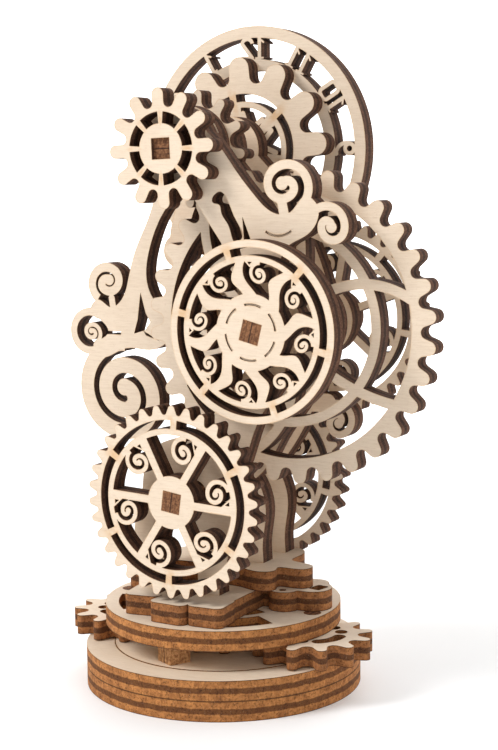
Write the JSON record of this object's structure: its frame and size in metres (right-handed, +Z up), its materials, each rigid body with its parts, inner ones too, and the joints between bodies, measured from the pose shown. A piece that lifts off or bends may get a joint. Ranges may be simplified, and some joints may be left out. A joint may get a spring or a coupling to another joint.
{
  "type": "wooden gear clock puzzle",
  "caption": "Small laser-cut plywood mechanical puzzle shaped like a clock: scrolled frames carry meshing gears, a sun medallion and a dial on a turning round base.",
  "frame": {"origin": "centre of the underside of the round base", "axes": "+Z up, the turntable's axis; -Y towards the sun medallion side; +Y the way the clock dial faces; gear axles run along Y"},
  "size_m": [0.0632, 0.0418, 0.0993],
  "materials": {
    "birch_ply": "matte",
    "birch_strip": "matte"
  },
  "bodies": {
    "base": {"base_disc": "birch_ply", "base_ring": "birch_ply", "centre_post": "birch_strip", "centre_gear": "birch_ply"},
    "turntable": {"turntable_disc": "birch_ply", "peg_front": "birch_strip", "peg_rear": "birch_strip", "ring_plate": "birch_ply", "bracket_plate": "birch_ply", "collar_plate": "birch_ply", "front_frame": "birch_ply", "middle_frame": "birch_ply", "rear_frame": "birch_ply", "head_spacer": "birch_ply", "dial_post_left": "birch_strip", "dial_post_bottom": "birch_strip", "dial_post_right": "birch_strip", "clock_dial": "birch_ply", "planet_pin_left": "birch_strip", "planet_pin_right": "birch_strip"},
    "planet_left": {"planet_left": "birch_ply"},
    "planet_right": {"planet_right": "birch_ply"},
    "main_arbor": {"sun_medallion": "birch_ply", "main_wheel": "birch_ply", "rear_drive_wheel": "birch_ply", "main_axle": "birch_strip"},
    "top_arbor": {"top_pinion_front": "birch_ply", "top_pinion_inner": "birch_ply", "star_wheel": "birch_ply", "top_axle": "birch_strip"},
    "lower_arbor": {"lower_wheel_front": "birch_ply", "lower_wheel_rear": "birch_ply", "lower_axle": "birch_strip"}
  },
  "joints": [
    {"name": "turntable_spin", "type": "hinge", "parent": "base", "child": "turntable", "pos_m": [0, 0, 0.003], "axis": [0, 0, 1], "continuous": true},
    {"name": "planet_right_spin", "type": "hinge", "parent": "turntable", "child": "planet_right", "pos_m": [0.01584, -0.00139, 0.0077], "axis": [0, 0, 1], "continuous": true},
    {"name": "planet_left_spin", "type": "hinge", "parent": "turntable", "child": "planet_left", "pos_m": [-0.01584, -0.00139, 0.0077], "axis": [0, 0, 1], "continuous": true},
    {"name": "main_spin", "type": "hinge", "parent": "turntable", "child": "main_arbor", "pos_m": [0.01275, 0, 0.0548], "axis": [0, 1, 0], "continuous": true},
    {"name": "top_spin", "type": "hinge", "parent": "turntable", "child": "top_arbor", "pos_m": [-0.00235, 0, 0.0802], "axis": [0, 1, 0], "continuous": true},
    {"name": "lower_spin", "type": "hinge", "parent": "turntable", "child": "lower_arbor", "pos_m": [0.00035, 0, 0.03005], "axis": [0, 1, 0], "continuous": true}
  ],
  "couplings": [
    {"joint": "planet_right_spin", "follows": "turntable_spin", "ratio": 1},
    {"joint": "planet_left_spin", "follows": "turntable_spin", "ratio": 1},
    {"joint": "top_spin", "follows": "main_spin", "ratio": -2.6667},
    {"joint": "lower_spin", "follows": "main_spin", "ratio": -1.0588}
  ]
}
